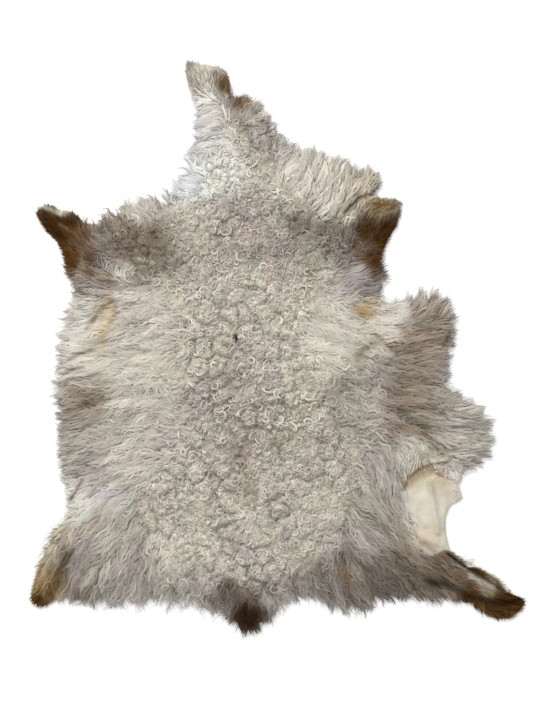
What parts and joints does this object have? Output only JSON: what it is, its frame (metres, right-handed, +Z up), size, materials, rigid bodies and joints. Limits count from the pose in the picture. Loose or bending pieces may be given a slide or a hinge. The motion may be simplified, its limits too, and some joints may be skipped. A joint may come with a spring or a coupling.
{
  "type": "lambskin",
  "caption": "Whole curly lambskin laid flat, wool side up: irregular hide with neck, shanks and tail, lumpy fleece, bare groin and locks at the rim.",
  "frame": {"origin": "on the surface the hide lies on, under the middle of its box", "axes": "+Y to the neck, along the spine; +Z up through the wool; +X to the side with the bare groin"},
  "size_m": [0.8432, 0.9757, 0.028],
  "materials": {
    "fleece": "matte curly wool, pale grey-beige with smoky patches",
    "shank_hair": "short smooth brown hair with a slight sheen",
    "skin": "soft suede, cream"
  },
  "bodies": {
    "root": {"lambskin": "fleece"}
  },
  "joints": []
}
